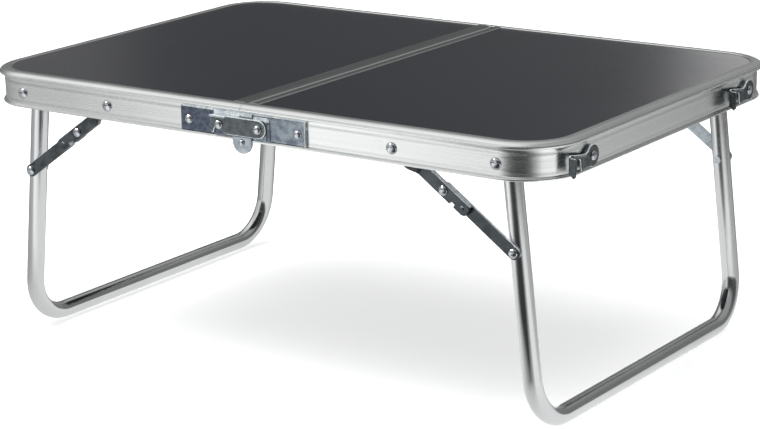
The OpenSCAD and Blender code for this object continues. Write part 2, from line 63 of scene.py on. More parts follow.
def centre_mm(node):
    lo, hi = box_mm(node)
    return (lo + hi) / 2


def pivot_mm(joint):
    return Vector(JOINTS[joint]["pos_m"]) / MM


# ---- sizes in millimetres ----------------------------------------------------

HALF_L, HALF_D, TOP_Z = box_mm("rim_rail_right")[1]
FOLD_Z = pivot_mm("fold_first").z
RIM_RADIUS = 50.0  # corners of the top
CORNER_X, CORNER_Y = HALF_L - RIM_RADIUS, HALF_D - RIM_RADIUS
SEAM = 0.15  # half the gap at the fold
WEB_IN = 4.5  # the rim's side face, inwards from its lip
TUBE_R, TUBE_WALL = 8.0, 1.2  # leg tubes
HEAD_R, HEAD_H = 4.1, 2.2  # rivet heads
RAIL_HEAD_R, STUD_HEAD_R = 5.1, 4.0  # wider heads in the rail's side, and the studs' heads
SMALL_HEAD_R, SMALL_HEAD_H = 3.1, 1.9  # fold rivets' heads
SHANK_R, TAIL_R, TAIL_H = 2.5, 3.5, 1.0  # rivet shanks and tails
END_SHANK_R, COLLAR_R = 2.2, 5.0  # catch pivots and keeper studs
LINK_W = 11.5  # brace links
NOTCH_AT, NOTCH_DEEP, NOTCH_WIDE = 10.0, 2.8, 4.3  # notch in a link's lower edge
EAR_R = 9.8  # hinge plates' round ears
PLATE_SHEET, PLATE_LAP = 1.2, 1.5  # hinge plates' sheet, and the left ones' step past the right ones
PLATE_FOOT = 28.6  # hinge plates' lower edge, below the top
LATCH_SHEET = 1.5  # hooks' and catches' sheet

# brightness of the studio round the object: degrees from the front, towards the right
FLOOR_LEVELS = ((-180, 0.30), (-158, 0.42), (-150, 0.16), (-120, 0.18), (-90, 0.38), (-60, 0.52),
                (-44, 0.57), (-38, 0.80), (-31, 1.30), (-10, 1.1), (6, 0.20), (16, 0.05), (40, 0.05),
                (52, 0.50), (60, 1.12), (80, 1.12), (100, 0.62), (128, 0.55), (149, 0.35), (156, 0.20))
WALL_LEVELS = ((-180, 0.28), (-160, 0.32), (-150, 0.22), (-142, 0.16), (-134, 0.18), (-110, 0.20),
               (-60, 0.70), (-44, 0.66), (-31, 0.95), (-18, 0.60), (-2, 0.06), (90, 0.10), (140, 0.22),
               (175, 0.26))
SKY_LEVELS = ((-180, 0.30), (-120, 0.95), (-75, 1.05), (-52, 0.62), (-44, 0.60), (-31, 0.95),
              (0, 0.80), (30, 0.42), (110, 0.40), (150, 0.38), (180, 0.36))


# ---- shader node helpers -----------------------------------------------------

def material(name, metallic, colour, roughness):
    """A new node material with its fixed values on the shader's own sockets."""
    mat = bpy.data.materials.new(name)
    mat.use_nodes = True
    shader = mat.node_tree.nodes["Principled BSDF"]
    shader.inputs["Metallic"].default_value = metallic
    shader.inputs["Base Color"].default_value = (*colour, 1)
    shader.inputs["Roughness"].default_value = roughness
    return mat, mat.node_tree, shader


def coords(tree, scale=(1, 1, 1)):
    """Object coordinates; a stretching scale makes noise run along its smallest direction."""
    where = tree.nodes.new("ShaderNodeTexCoord")
    stretch = tree.nodes.new("ShaderNodeMapping")
    stretch.inputs["Scale"].default_value = scale
    tree.links.new(where.outputs["Object"], stretch.inputs["Vector"])
    return stretch.outputs["Vector"]


def place_axes(tree, kind):
    """X, Y and Z of the object or world coordinates."""
    where = tree.nodes.new("ShaderNodeTexCoord")
    split = tree.nodes.new("ShaderNodeSeparateXYZ")
    tree.links.new(where.outputs[kind], split.inputs[0])
    return split.outputs


def noise(tree, vector, scale, detail=4.0, roughness=0.55):
    made = tree.nodes.new("ShaderNodeTexNoise")
    made.inputs["Scale"].default_value = scale
    made.inputs["Detail"].default_value = detail
    made.inputs["Roughness"].default_value = roughness
    tree.links.new(vector, made.inputs["Vector"])
    return made.outputs["Fac"]


def ramp(tree, value, lo, hi, out_lo, out_hi):
    """Maps value from lo..hi to out_lo..out_hi and clamps it."""
    made = tree.nodes.new("ShaderNodeMapRange")
    made.inputs["From Min"].default_value = lo
    made.inputs["From Max"].default_value = hi
    made.inputs["To Min"].default_value = out_lo
    made.inputs["To Max"].default_value = out_hi
    tree.links.new(value, made.inputs["Value"])
    return made.outputs["Result"]


def math_node(tree, operation, a, b):
    made = tree.nodes.new("ShaderNodeMath")
    made.operation = operation
    for socket, value in zip(made.inputs, (a, b)):
        if isinstance(value, (int, float)):
            socket.default_value = value
        else:
            tree.links.new(value, socket)
    return made.outputs["Value"]


def blend_colours(tree, factor, a, b):
    made = tree.nodes.new("ShaderNodeMix")
    made.data_type = "RGBA"
    for socket, value in ((made.inputs[6], a), (made.inputs[7], b)):
        if isinstance(value, tuple):
            socket.default_value = (*value, 1)
        else:
            tree.links.new(value, socket)
    tree.links.new(factor, made.inputs[0])
    return made.outputs[2]


def tone(tree, value, lo, hi, first, last):
    """A colour that goes from first to last as value goes from lo to hi."""
    return blend_colours(tree, ramp(tree, value, lo, hi, 0, 1), first, last)


def bump(tree, shader, height, strength, distance, edge=0.0):
    """Surface relief, over edges that look rounded by edge metres."""
    made = tree.nodes.new("ShaderNodeBump")
    if edge:
        rounded = tree.nodes.new("ShaderNodeBevel")
        rounded.samples = 8
        rounded.inputs["Radius"].default_value = edge
        tree.links.new(rounded.outputs["Normal"], made.inputs["Normal"])
    made.inputs["Strength"].default_value = strength
    made.inputs["Distance"].default_value = distance
    tree.links.new(height, made.inputs["Height"])
    tree.links.new(made.outputs["Normal"], shader.inputs["Normal"])


def edge_mask(tree, radius):
    """1 along edges and 0 on flat areas."""
    rounded = tree.nodes.new("ShaderNodeBevel")
    rounded.samples = 4
    rounded.inputs["Radius"].default_value = radius
    flat = tree.nodes.new("ShaderNodeNewGeometry")
    dot = tree.nodes.new("ShaderNodeVectorMath")
    dot.operation = "DOT_PRODUCT"
    tree.links.new(rounded.outputs["Normal"], dot.inputs[0])
    tree.links.new(flat.outputs["Normal"], dot.inputs[1])
    return ramp(tree, dot.outputs["Value"], 0.998, 0.94, 0.0, 1.0)


def connect(tree, value, shader, socket):
    tree.links.new(value, shader.inputs[socket])


# ---- materials -------------------------------------------------------------

def rail_profile_coordinate(tree):
    """Distance outwards from the rectangle through the corner centres, and the object axes."""
    axes = place_axes(tree, "Object")
    over = []
    for axis, limit in ((0, CORNER_X * MM), (1, CORNER_Y * MM)):
        size = math_node(tree, "ABSOLUTE", axes[axis], 0)
        over.append(math_node(tree, "MAXIMUM", math_node(tree, "SUBTRACT", size, limit), 0))
    square = [math_node(tree, "MULTIPLY", v, v) for v in over]
    out = math_node(tree, "SQRT", math_node(tree, "ADD", *square), 0)
    return out, axes


def rim_material():
    """Satin anodised extrusion: die lines that follow the rail, faint cloudiness and fine scratches."""
    mat, tree, shader = material("rim_aluminium", 1.0, (0.82, 0.825, 0.825), 0.27)
    out, axes = rail_profile_coordinate(tree)
    join = tree.nodes.new("ShaderNodeCombineXYZ")
    tree.links.new(math_node(tree, "MULTIPLY", out, 900), join.inputs[0])
    tree.links.new(math_node(tree, "MULTIPLY", axes[2], 900), join.inputs[1])
    along = math_node(tree, "ADD", axes[0], axes[1])
    tree.links.new(math_node(tree, "MULTIPLY", along, 1.5), join.inputs[2])
    lines = noise(tree, join.outputs[0], 2.0, 3.0, 0.6)
    cloud = noise(tree, coords(tree), 9.0, 5.0)
    scratch = noise(tree, coords(tree, (30, 30, 900)), 3.0, 2.0)
    rough = math_node(tree, "ADD", ramp(tree, lines, 0.3, 0.7, 0.22, 0.30),
                      ramp(tree, cloud, 0.35, 0.65, -0.02, 0.03))
    connect(tree, rough, shader, "Roughness")
    tint = tone(tree, cloud, 0.35, 0.65, (0.80, 0.81, 0.805), (0.86, 0.865, 0.86))
    connect(tree, tint, shader, "Base Color")
    height = math_node(tree, "ADD", lines, math_node(tree, "MULTIPLY", scratch, 0.10))
    bump(tree, shader, height, 0.045, 0.0001)
    return mat


def strip_material():
    """Dark satin strip beside the fold, with fine lines along it; its edges are lighter in the base colour,
    a painted highlight, and a lighter line runs along the fold.
    """
    mat, tree, shader = material("fold_strip", 1.0, (0.12, 0.12, 0.125), 0.4)
    lines = noise(tree, coords(tree, (900, 4, 900)), 2.0, 3.0)
    wear = noise(tree, coords(tree), 60.0, 5.0)
    body = tone(tree, lines, 0.35, 0.65, (0.16, 0.16, 0.165), (0.24, 0.24, 0.245))
    from_fold = math_node(tree, "ABSOLUTE", place_axes(tree, "Object")[0], 0)
    seam = ramp(tree, from_fold, 0.0013, 0.0019, 1.0, 0.0)
    # lighter base colour on the edges is a painted highlight; the line along the fold is lighter too
    edge_highlight_and_fold_mask = math_node(tree, "MAXIMUM", edge_mask(tree, 0.0011), seam)
    painted_edge_highlight_and_fold_line = blend_colours(tree, edge_highlight_and_fold_mask, body, (0.75, 0.75, 0.76))
    connect(tree, painted_edge_highlight_and_fold_line, shader, "Base Color")
    connect(tree, ramp(tree, wear, 0.3, 0.7, 0.34, 0.48), shader, "Roughness")
    bump(tree, shader, lines, 0.15, 0.0001, 0.0004)
    return mat


def board_material():
    """Dark laminate with a fine grained satin surface."""
    mat, tree, shader = material("board", 0.0, (0.03, 0.031, 0.036), 0.36)
    shader.inputs["Specular IOR Level"].default_value = 0.18
    fine = noise(tree, coords(tree), 1400.0, 2.0)
    wide = noise(tree, coords(tree), 7.0, 4.0)
    tint = tone(tree, wide, 0.35, 0.65, (0.0074, 0.0078, 0.0112), (0.0092, 0.0096, 0.0132))
    connect(tree, tint, shader, "Base Color")
    rough = math_node(tree, "ADD", ramp(tree, wide, 0.3, 0.7, 0.27, 0.31),
                      ramp(tree, fine, 0.3, 0.7, -0.03, 0.03))
    connect(tree, rough, shader, "Roughness")
    bump(tree, shader, fine, 0.10, 0.00005)
    return mat


def zinc_material(name, dark, light, rough, clouds=95.0, metallic=1.0, relief=0.22):
    """Zinc plated sheet: bluish, with soft mottling and faint rolling lines."""
    mat, tree, shader = material(name, metallic, light, rough)
    blotch = noise(tree, coords(tree, (1, 1, 1.4)), clouds, 6.0, 0.62)
    rolling = noise(tree, coords(tree, (25, 25, 500)), 4.0, 2.0)
    speck = noise(tree, coords(tree), 900.0, 2.0)
    body = tone(tree, blotch, 0.40, 0.60, dark, light)
    connect(tree, body, shader, "Base Color")
    roughness = math_node(tree, "ADD", ramp(tree, blotch, 0.35, 0.65, rough - 0.08, rough + 0.10),
                          ramp(tree, speck, 0.3, 0.7, -0.04, 0.04))
    connect(tree, roughness, shader, "Roughness")
    height = math_node(tree, "ADD", math_node(tree, "MULTIPLY", rolling, 0.4), blotch)
    bump(tree, shader, height, relief, 0.0004)
    return mat


def tube_material():
    """Polished drawn tube: nearly mirror bright, with draw lines along its length."""
    mat, tree, shader = material("leg_tube", 1.0, (0.88, 0.885, 0.89), 0.14)
    lines = noise(tree, coords(tree, (420, 420, 5)), 2.2, 3.0)
    haze = noise(tree, coords(tree), 14.0, 5.0)
    rough = math_node(tree, "ADD", ramp(tree, lines, 0.3, 0.7, 0.10, 0.17),
                      ramp(tree, haze, 0.35, 0.65, -0.02, 0.04))
    connect(tree, rough, shader, "Roughness")
    tint = tone(tree, haze, 0.35, 0.65, (0.62, 0.625, 0.635), (0.69, 0.695, 0.70))
    connect(tree, tint, shader, "Base Color")
    bump(tree, shader, math_node(tree, "ADD", lines, haze), 0.05, 0.0001)
    return mat


def rivet_material():
    """Bright polished rivet with slight dents and dulled patches."""
    mat, tree, shader = material("rivet_steel", 1.0, (0.70, 0.71, 0.73), 0.08)
    dents = noise(tree, coords(tree), 260.0, 3.0)
    dull = noise(tree, coords(tree), 190.0, 4.0)
    connect(tree, ramp(tree, dull, 0.35, 0.7, 0.05, 0.14), shader, "Roughness")
    tint = tone(tree, dull, 0.4, 0.7, (0.62, 0.64, 0.68), (0.42, 0.44, 0.47))
    connect(tree, tint, shader, "Base Color")
    bump(tree, shader, dents, 0.07, 0.0003)
    return mat


def spacer_material():
    """Moulded dark plastic with a fine eroded texture."""
    mat, tree, shader = material("spacer_plastic", 0.0, (0.035, 0.035, 0.038), 0.5)
    grain = noise(tree, coords(tree), 800.0, 3.0)
    connect(tree, ramp(tree, grain, 0.3, 0.7, 0.42, 0.58), shader, "Roughness")
    tint = blend_colours(tree, grain, (0.030, 0.030, 0.033), (0.045, 0.045, 0.048))
    connect(tree, tint, shader, "Base Color")
    bump(tree, shader, grain, 0.25, 0.0002)
    return mat


# ---- mesh pieces -----------------------------------------------------------

def piece(name, verts, faces, mat, body, stands_for=(), sharp=32):
    """A mesh piece in millimetres that rides on a CAD body."""
    mesh = bpy.data.meshes.new(name)
    mesh.from_pydata([tuple(c * MM for c in v) for v in verts], [], faces)
    mesh.validate()
    work = bmesh.new()
    work.from_mesh(mesh)
    bmesh.ops.remove_doubles(work, verts=work.verts, dist=1e-6)
    bmesh.ops.recalc_face_normals(work, faces=work.faces)
    work.to_mesh(mesh)
    work.free()
    for face in mesh.polygons:
        face.use_smooth = True
    mesh.set_sharp_from_angle(angle=math.radians(sharp))
    obj = bpy.data.objects.new(name, mesh)
    bpy.context.scene.collection.objects.link(obj)
    obj.data.materials.append(mat)
    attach(obj, body)
    if stands_for:
        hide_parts(*stands_for)
    return obj


def bridge(rings, cap_ends=True):
    """Faces that join equal closed rings of points, with the first and last ring filled."""
    n = len(rings[0])
    verts = [p for ring in rings for p in ring]
    faces = []
    for i in range(len(rings) - 1):
        for j in range(n):
            k = (j + 1) % n
            faces.append((i * n + j, i * n + k, (i + 1) * n + k, (i + 1) * n + j))
    if cap_ends:
        faces.append(tuple(range(n)))
        faces.append(tuple(range((len(rings) - 1) * n, len(rings) * n)))
    return verts, faces


def join_parts(parts):
    """Several (verts, faces) as one."""
    verts, faces = [], []
    for part_verts, part_faces in parts:
        base = len(verts)
        verts += part_verts
        faces += [tuple(base + i for i in face) for face in part_faces]
    return verts, faces


def lathe(profile, origin, axis, steps=40):
    """Turns (radius, height) points about an axis through origin; a radius of 0 closes the end."""
    axis = Vector(axis).normalized()
    side = axis.orthogonal().normalized()
    other = axis.cross(side)
    origin = Vector(origin)
    rings = []
    for radius, height in profile:
        ring = []
        for i in range(steps):
            a = 2 * math.pi * i / steps
            outwards = side * math.cos(a) + other * math.sin(a)
            ring.append(tuple(origin + axis * height + outwards * max(radius, 1e-4)))
        rings.append(ring)
    return bridge(rings)


def arc(cx, cz, rx, rz, start, end, steps):
    """Points of an elliptic arc, angles in degrees."""
    return [(cx + rx * math.cos(math.radians(start + (end - start) * i / steps)),
             cz + rz * math.sin(math.radians(start + (end - start) * i / steps))) for i in range(steps + 1)]


def round_corners(cu, cv, radius, start, end, steps):
    """An arc as outline corners with no fillet of their own."""
    return [(u, v, 0) for u, v in arc(cu, cv, radius, radius, start, end, steps)]


def dome_profile(radius, height, shank_r, shank_len, tail_r=0, tail_len=0):
    """A rivet: tail disc, shank, flat seat, small flange and crowned head; height 0 is the seat."""
    flange = 0.16 * height
    points = []
    if tail_len:
        points += [(0, -shank_len - tail_len), (tail_r * 0.75, -shank_len - tail_len),
                   (tail_r, -shank_len - tail_len * 0.6), (tail_r, -shank_len), (shank_r, -shank_len)]
    else:
        points += [(0, -shank_len), (shank_r, -shank_len)]
    points += [(shank_r, 0), (radius - 0.15, 0), (radius, 0.12), (radius, flange)]
    points += [(max(x, 0), z) for x, z in arc(0, flange, radius * 0.97, height - flange, 4, 90, 12)]
    return points


# ---- rim and top -----------------------------------------------------------

def rim_section():
    """Section of the rim rail: inset from the outer face, and height from the top."""
    lip_in, slot_in, wall_in, web_in, bead_in, shelf_in = 11.4, 6.3, 6.0, WEB_IN, 2.5, 14.5
    shoulder, drop, cap_low, deep = 8.2, 3.8, 5.0, 32.0
    out = [(lip_in, -0.8)]
    out += [(lip_in - 0.15, -0.45), (lip_in - 0.6, -0.1), (lip_in - 1.2, 0)]
    out += arc(shoulder, -drop, shoulder, drop, 90, 178, 11)
    out += [(0, -drop - 0.5), (0.12, -cap_low + 0.2), (0.4, -cap_low)]
    out += [(web_in - 2.8, -cap_low - 0.1), (web_in - 1.4, -cap_low - 0.6), (web_in - 0.5, -cap_low - 1.5),
            (web_in, -cap_low - 3.0)]
    out += wave(web_in, -8.9, -14.6, -0.12)
    out += wave(web_in, -21.6, -27.6, 0.10)
    out += [(web_in, -28.3), (web_in - 0.25, -28.75), (bead_in + 0.5, -29.15)]
    out += arc(bead_in + 1.3, -30.45, 1.3, 1.3, 90, 270, 8)[1:]
    out += [(bead_in + 1.9, -deep + 0.1), (wall_in, -deep), (wall_in, -7.2), (shelf_in, -7.2),
            (shelf_in, -5.8), (slot_in, -5.8), (slot_in, -0.8)]
    return out


def wave(web, top, low, depth):
    """A soft groove in the rail's side between two heights, or a ridge where depth is negative."""
    return [(web + depth * (0.5 - 0.5 * math.cos(2 * math.pi * i / 10)), top + (low - top) * i / 10)
            for i in range(11)]


def rim_path(sign):
    """Points and outward directions along the rim of one half, from the fold round to the fold."""
    steps = 24
    stations = [((SEAM, -CORNER_Y), (0, -1))]
    for y, first in ((-CORNER_Y, -90), (CORNER_Y, 0)):
        for i in range(steps + 1):
            a = math.radians(first + 90 * i / steps)
            stations.append(((CORNER_X, y), (math.cos(a), math.sin(a))))
    stations.append(((SEAM, CORNER_Y), (0, 1)))
    return [((sign * p[0], p[1]), (sign * d[0], d[1])) for p, d in stations]


def make_rim(side, mat):
    section = rim_section()
    rings = []
    for p, d in rim_path(SIDES[side]):
        rings.append([(p[0] + d[0] * (RIM_RADIUS - inset), p[1] + d[1] * (RIM_RADIUS - inset), TOP_Z + z)
                      for inset, z in section])
    verts, faces = bridge(rings)
    obj = piece("rim_" + side, verts, faces, mat, side + "_half", ["rim_rail_" + side],
                sharp=24)
    soften(obj, 0.15)


def soften(obj, width, segments=2, angle=35):
    """A small rounded edge."""
    rounding = obj.modifiers.new("edges", "BEVEL")
    rounding.width = width * MM
    rounding.segments = segments
    rounding.limit_method = "ANGLE"
    rounding.angle_limit = math.radians(angle)
    rounding.harden_normals = True
    rounding.miter_outer = "MITER_ARC"


# ---- legs ------------------------------------------------------------------

def leg_path(sign):
    """Centre line of a leg tube from one top end round to the other, with the pivot's place."""
    lo, hi = box_mm("leg_right")
    pivot = pivot_mm("right_leg_fold")
    foot = Vector((hi.x - TUBE_R, 0, lo.z + TUBE_R))
    down = Vector((foot.x - pivot.x, 0, foot.z - pivot.z))
    length = down.length
    down.normalize()
    half = (hi.y - lo.y) / 2 - TUBE_R
    bend, over, steps = 42.0, 10.0, 22
    flat = [(-half, -over), (-half, length - bend)]
    flat += arc(-half + bend, length - bend, bend, bend, 180, 90, steps)[1:]
    mirrored = [(-y, s) for y, s in reversed(flat)]
    points = []
    for y, s in flat + mirrored:
        p = Vector((pivot.x, 0, pivot.z)) + down * s
        points.append(Vector((sign * p.x, y, p.z)))
    return points, Vector((-sign * down.z, 0, down.x)).normalized()


def make_leg(side, mat):
    sign = SIDES[side]
    points, across = leg_path(sign)
    rings_out, rings_in = [], []
    steps = 44
    for i, p in enumerate(points):
        before = points[max(i - 1, 0)]
        after = points[min(i + 1, len(points) - 1)]
        ahead = (after - before).normalized()
        side_dir = ahead.cross(across).normalized()
        bent = 0 < i < len(points) - 1 and (p - before).length < 20 and (after - p).length < 20
        squeeze = 0.985 if bent else 1.0  # a bent tube is slightly oval
        for rings, r in ((rings_out, TUBE_R), (rings_in, TUBE_R - TUBE_WALL)):
            ring = []
            for k in range(steps):
                a = 2 * math.pi * k / steps
                ring.append(tuple(p + across * r * math.cos(a) + side_dir * r * squeeze * math.sin(a)))
            rings.append(ring)
    order = rings_out + list(reversed(rings_in))
    verts, faces = bridge(order + [rings_out[0]], cap_ends=False)
    obj = piece("leg_tube_" + side, verts, faces, mat, side + "_leg", ["leg_" + side], sharp=40)
    soften(obj, 0.3)


# ---- fasteners -------------------------------------------------------------

def rivet_pair(node, body, mat, radius, height, shank, tail_r=0.0, tail=0.0):
    """The front and back rivets of one CAD node, with heads facing out."""
    mid, (lo, hi) = centre_mm(node), box_mm(node)
    parts = []
    profile = dome_profile(radius, height, SHANK_R, shank, tail_r, tail)
    for sign, tip in ((-1, lo.y), (1, hi.y)):
        seat = tip - sign * height
        parts.append(lathe(profile, (mid.x, seat, mid.z), (0, sign, 0)))
    verts, faces = join_parts(parts)
    return piece(node + "_detailed", verts, faces, mat, body, [node], sharp=38)


def end_rivets(node, body, mat, radius, height, shank, collar):
    """The two rivets or studs of one end, with heads facing out along X."""
    mid, (lo, hi) = centre_mm(node), box_mm(node)
    sign = 1 if mid.x > 0 else -1
    tip = hi.x if sign > 0 else lo.x
    parts = []
    seat, base = tip - sign * height, (HALF_L - WEB_IN) * sign
    bore = END_SHANK_R + 0.05
    rivet_profile = dome_profile(radius, height, END_SHANK_R, shank)
    collar_profile = [(bore, 0.05), (COLLAR_R - 0.4, 0.05), (COLLAR_R, 0.3),
                      (COLLAR_R, collar - 0.3), (COLLAR_R - 0.3, collar), (bore, collar)]
    for y in (lo.y + COLLAR_R, hi.y - COLLAR_R):
        parts.append(lathe(rivet_profile, (seat, y, mid.z), (sign, 0, 0)))
        parts.append(lathe(collar_profile, (base, y, mid.z), (sign, 0, 0)))
    verts, faces = join_parts(parts)
    return piece(node + "_detailed", verts, faces, mat, body, [node], sharp=38)


# ---- pressed sheet parts -----------------------------------------------------

def fillet(corners, steps=7):
    """An outline from (u, v, radius) corners."""
    points = []
    for i, (u, v, radius) in enumerate(corners):
        if not radius:
            points.append((u, v))
            continue
        here = Vector((u, v))
        before = (Vector(corners[i - 1][:2]) - here).normalized()
        after = (Vector(corners[(i + 1) % len(corners)][:2]) - here).normalized()
        half = math.acos(max(-1, min(1, before.dot(after)))) / 2
        centre = here + (before + after).normalized() * radius / math.sin(half)
        first = here + before * radius / math.tan(half) - centre
        last = here + after * radius / math.tan(half) - centre
        start = math.atan2(first.y, first.x)
        swing = (math.atan2(last.y, last.x) - start + math.pi) % (2 * math.pi) - math.pi
        points += [(centre.x + radius * math.cos(start + swing * k / steps),
                    centre.y + radius * math.sin(start + swing * k / steps)) for k in range(steps + 1)]
    return points


def smooth_step(value, lo, hi):
    """0 below lo, 1 above hi and an S-curve between them."""
    t = max(0, min(1, (value - lo) / (hi - lo)))
    return t * t * (3 - 2 * t)


def sheet(outline, low, high, rounding, place, wall=0.0, cavity=0.0, cuts=(), bend=None, back_rounding=0.0):
    """Sheet metal with an outline in (u, v) from low to high, rounded outer edges, and an optional
    channel behind; cuts are the places along u where it may bend."""
    work = bmesh.new()
    back = work.faces.new([work.verts.new((u, v, low)) for u, v in outline])
    grown = bmesh.ops.extrude_face_region(work, geom=[back])["geom"]
    for v in grown:
        if isinstance(v, bmesh.types.BMVert):
            v.co.z = high
    work.faces.ensure_lookup_table()
    front = next(f for f in grown if isinstance(f, bmesh.types.BMFace))
    if not back.is_valid or back not in work.faces:
        back = work.faces.new([v for v in work.verts if abs(v.co.z - low) < 1e-6])
    if cavity:
        bmesh.ops.inset_region(work, faces=[back], thickness=wall, use_even_offset=True, use_boundary=True)
        for v in back.verts:
            v.co.z += cavity
    for face, size in ((front, rounding), (back, back_rounding)):
        if size:
            bmesh.ops.bevel(work, geom=list(face.edges), offset=size, offset_type="OFFSET", segments=4,
                            profile=0.5, affect="EDGES", clamp_overlap=False, loop_slide=True)
    for cut in cuts:
        bmesh.ops.bisect_plane(work, geom=work.verts[:] + work.edges[:] + work.faces[:],
                               plane_co=(cut, 0, 0), plane_no=(1, 0, 0))
    if bend:
        for v in work.verts:
            v.co.z += bend(v.co.x)
    work.verts.index_update()
    verts = [place(*v.co) for v in work.verts]
    faces = [tuple(v.index for v in f.verts) for f in work.faces]
    work.free()
    return verts, faces


def spread(start, end, step, edge=(0.0, 0.15, 0.45, 0.9)):
    """Grid places from start to end, closer together at both ends."""
    inner_start, inner_end = start + edge[-1], end - edge[-1]
    count = max(1, round((inner_end - inner_start) / step))
    middle = [inner_start + (inner_end - inner_start) * i / count for i in range(count + 1)]
    return [start + e for e in edge[:-1]] + middle + [end - e for e in reversed(edge[:-1])]


def places(start, step, count):
    return [start + step * i for i in range(count)]


def embossed(us, vs, height, back, place, edge_drop=0.4):
    """A pressed plate: height gives the outer face over the grid, and its border is rounded."""
    rings = []
    for u in us:
        row = []
        for v in vs:
            near = min(u - us[0], us[-1] - u, v - vs[0], vs[-1] - v)
            drop = edge_drop * (1 - min(near / 0.9, 1)) ** 2
            row.append((u, v, height(u, v) - drop))
        rings.append([(u, vs[-1], back), (u, vs[0], back)] + row)
    return bridge([[place(*p) for p in ring] for ring in rings])


def brighten(obj, chosen, mat):
    """Gives a second, lighter material to the faces that chosen(centre in mm, normal) picks; the calls use
    it for painted highlights, painted reflections and the lighter zinc of the left plates' ears.
    """
    obj.data.materials.append(mat)
    slot = len(obj.data.materials) - 1
    for face in obj.data.polygons:
        if chosen(face.center / MM, face.normal):
            face.material_index = slot


def level_faces(obj):
    """Keeps broad faces flat beside their rounded edges."""
    level = obj.modifiers.new("flat_faces", "WEIGHTED_NORMAL")
    level.keep_sharp = True


def outward(end):
    """Direction along Y, away from the table."""
    return -1 if end == "front" else 1


def depth_range(s, lo, hi):
    """Inner and outer distance from the middle plane of a box on the front (-1) or back (1)."""
    return (-hi.y, -lo.y) if s < 0 else (lo.y, hi.y)


def ear(axis_z, radius, low, high, top, place):
    """The round hinge ear below a plate."""
    corners = [(radius, top, 0), (-radius, top, 0)]
    corners += round_corners(0, axis_z, radius, 180, 360, 30)
    return sheet(fillet(corners), low, high, 0.4, place, back_rounding=0.2)


def make_left_plate(end):
    """Plate that steps out past the other plate's ear, with a pressed pad behind the hook."""
    node = "hinge_plate_left_" + end
    lo, hi = box_mm(node)
    s = outward(end)
    inner, outer = depth_range(s, lo, hi)
    low, top = TOP_Z - PLATE_FOOT, hi.z
    face = inner + PLATE_SHEET
    over = face + PLATE_LAP
    lap, pad_start, pad_end, bend = -29.5, -28.7, -0.7, 0.9

    def height(x, z):
        value = face + PLATE_LAP * smooth_step(x, lap - bend, lap + bend)
        seat = smooth_step(x, pad_start - bend, pad_start + bend)
        seat *= 1 - smooth_step(x, pad_end - bend, pad_end + bend)
        slope = 1 - max(0, min(1, (z - top + 3.4) / 3.0))
        foot = smooth_step(z, low + 0.2, low + 1.8)
        return value + (outer - over) * seat * slope * foot

    def place(x, z, w):
        return x, s * w, z

    # grid lines, closer together at the lap and at the pad's end
    xs = (spread(lo.x, -31.0, 2.0)[:-1] + places(-31.0, 0.3, 14) + places(-26.5, 2.0, 13)
          + places(-1.8, 0.6, 5) + spread(1.2, hi.x, 2.0)[3:])
    zs = spread(low, top, 0.8)
    plate = embossed(xs, zs, height, inner, place)
    lobe = ear(FOLD_Z, EAR_R, over - PLATE_SHEET, over, low + 1, place)
    verts, faces = join_parts([plate, lobe])
    obj = piece(node + "_detailed", verts, faces, PLATES["left"], "left_half", [node])
    brighten(obj, lambda c, n: c.z < low - 0.1, LIGHT_ZINC_AND_PAINTED_REFLECTION)
    # upward faces and the outward band below the pad's top are lighter: painted highlight and painted
    # reflection of the sky
    brighten(obj, lambda c, n: (n.z > 0.2 and c.z > low + 4)
             or (c.z > top - 5.6 and c.x > -28.0 and n.y * s > 0), PAINTED_HIGHLIGHT)
    level_faces(obj)


def make_right_plate(end):
    """Plate with a pressed seat behind the hook's pivot and a turned outer end."""
    node = "hinge_plate_right_" + end
    lo, hi = box_mm(node)
    s = outward(end)
    inner, outer = depth_range(s, lo, hi)
    low, top = TOP_Z - PLATE_FOOT, hi.z
    face = inner + PLATE_SHEET
    seat_lo, seat_hi, seat_top, corner = 12.1, 29.6, top - 1.4, 5.0

    def height(x, z):
        # distance inside the seat's outline, which is rounded at its upper outer corner
        dx, dz = x - (seat_hi - corner), z - (seat_top - corner)
        if dx > 0 and dz > 0:
            inside = corner - math.hypot(dx, dz)
        else:
            inside = min(seat_hi - x, seat_top - z)
        inside = min(inside, x - seat_lo + 1.0)
        seat = (outer - face) * smooth_step(inside, 0.0, 2.6)
        fold = 1.3 * smooth_step(x, hi.x - 2.2, hi.x - 1.3)
        return face + max(seat, fold)

    def place(x, z, w):
        return x, s * w, z

    # grid lines, closer together round the seat and at the turned end
    xs = (spread(SEAM, 11.0, 2.0)[:-1] + places(11.1, 0.35, 10) + places(15.5, 2.5, 4)
          + places(24.2, 0.45, 13) + places(31.0, 2.4, 13) + places(61.5, 1.5, 2)
          + [hi.x - e for e in (2.4, 2.0, 1.7, 1.3, 0.9, 0.45, 0.15, 0)])
    zs = spread(low, top, 0.7)
    plate = embossed(xs, zs, height, inner, place)
    lobe = ear(FOLD_Z, EAR_R, inner, face, low + 1, place)
    verts, faces = join_parts([plate, lobe])
    obj = piece(node + "_detailed", verts, faces, PLATES["right"], "right_half", [node])
    # upward faces, the turned end and its bend are lighter: painted highlight and painted reflection
    brighten(obj, lambda c, n: (n.z > 0.3 and c.z > low + 4) or c.x > hi.x - 0.7
             or hi.x - 2.3 < c.x < hi.x - 1.3, PAINTED_HIGHLIGHT)
    level_faces(obj)


